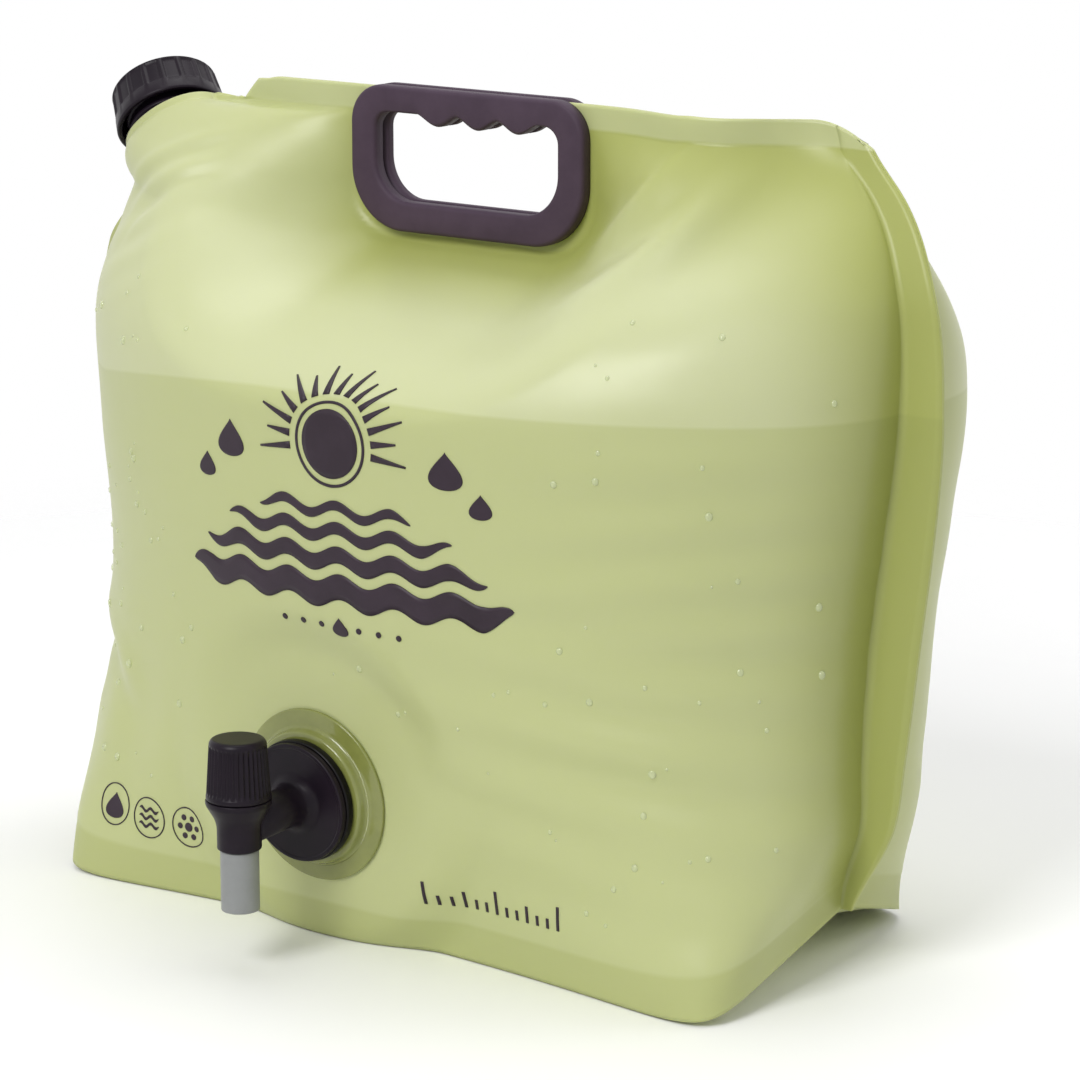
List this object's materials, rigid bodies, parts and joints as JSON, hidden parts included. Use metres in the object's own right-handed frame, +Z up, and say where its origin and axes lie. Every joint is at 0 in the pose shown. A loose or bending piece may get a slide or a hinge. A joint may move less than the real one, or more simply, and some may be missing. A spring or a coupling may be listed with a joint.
{
  "type": "collapsible water carrier",
  "caption": "Stand-up bag of welded film holding water, with a screw neck in its cut corner, a carrying handle through the top seal and a dispensing tap low on the front.",
  "frame": {"origin": "on the floor, under the middle of the base", "axes": "+Z up, the front with the tap faces -Y, the screw neck is at -X"},
  "size_m": [0.372, 0.2213, 0.2945],
  "materials": {
    "film": "soft see-through welded film",
    "handle_plastic": "matt, fine grained",
    "plum_plastic": "satin moulding",
    "green_plastic": "glossy, see-through at its edges",
    "black_rubber": "satin",
    "grey_tube": "matt",
    "liner": "foamed disc"
  },
  "bodies": {
    "carrier": {"front_panel": "film", "back_panel": "film", "bottom_gusset": "film", "handle_front": "handle_plastic", "handle_back": "handle_plastic", "neck_fitting": "plum_plastic", "tap_insert": "green_plastic", "tap_washer": "black_rubber", "tap_body": "plum_plastic", "outlet_tube": "grey_tube", "tap_bonnet": "plum_plastic", "stem_ring": "black_rubber"},
    "cap_seal": {"cap_liner": "liner"},
    "cap": {"screw_cap": "plum_plastic"},
    "plug": {"valve_plug": "black_rubber"},
    "knob": {"tap_knob": "plum_plastic", "valve_stem": "plum_plastic"}
  },
  "joints": [
    {"name": "cap_lift", "type": "slide", "parent": "carrier", "child": "cap_seal", "axis": [-0.6083, 0.3746, 0.6998], "range_m": [0, 0.012]},
    {"name": "cap_turn", "type": "hinge", "parent": "cap_seal", "child": "cap", "pos_m": [-0.147, 0.0015, 0.2662], "axis": [-0.6083, 0.3746, 0.6998], "range_deg": [0, 1080]},
    {"name": "plug_lift", "type": "slide", "parent": "carrier", "child": "plug", "axis": [0, 0, 1], "range_m": [0, 0.00375]},
    {"name": "knob_turn", "type": "hinge", "parent": "plug", "child": "knob", "pos_m": [-0.016, -0.11944, 0], "axis": [0, 0, 1], "range_deg": [0, 450]}
  ],
  "couplings": [
    {"joint": "cap_turn", "follows": "cap_lift", "rad_per_m": 1570.8},
    {"joint": "knob_turn", "follows": "plug_lift", "rad_per_m": 2094.4}
  ]
}
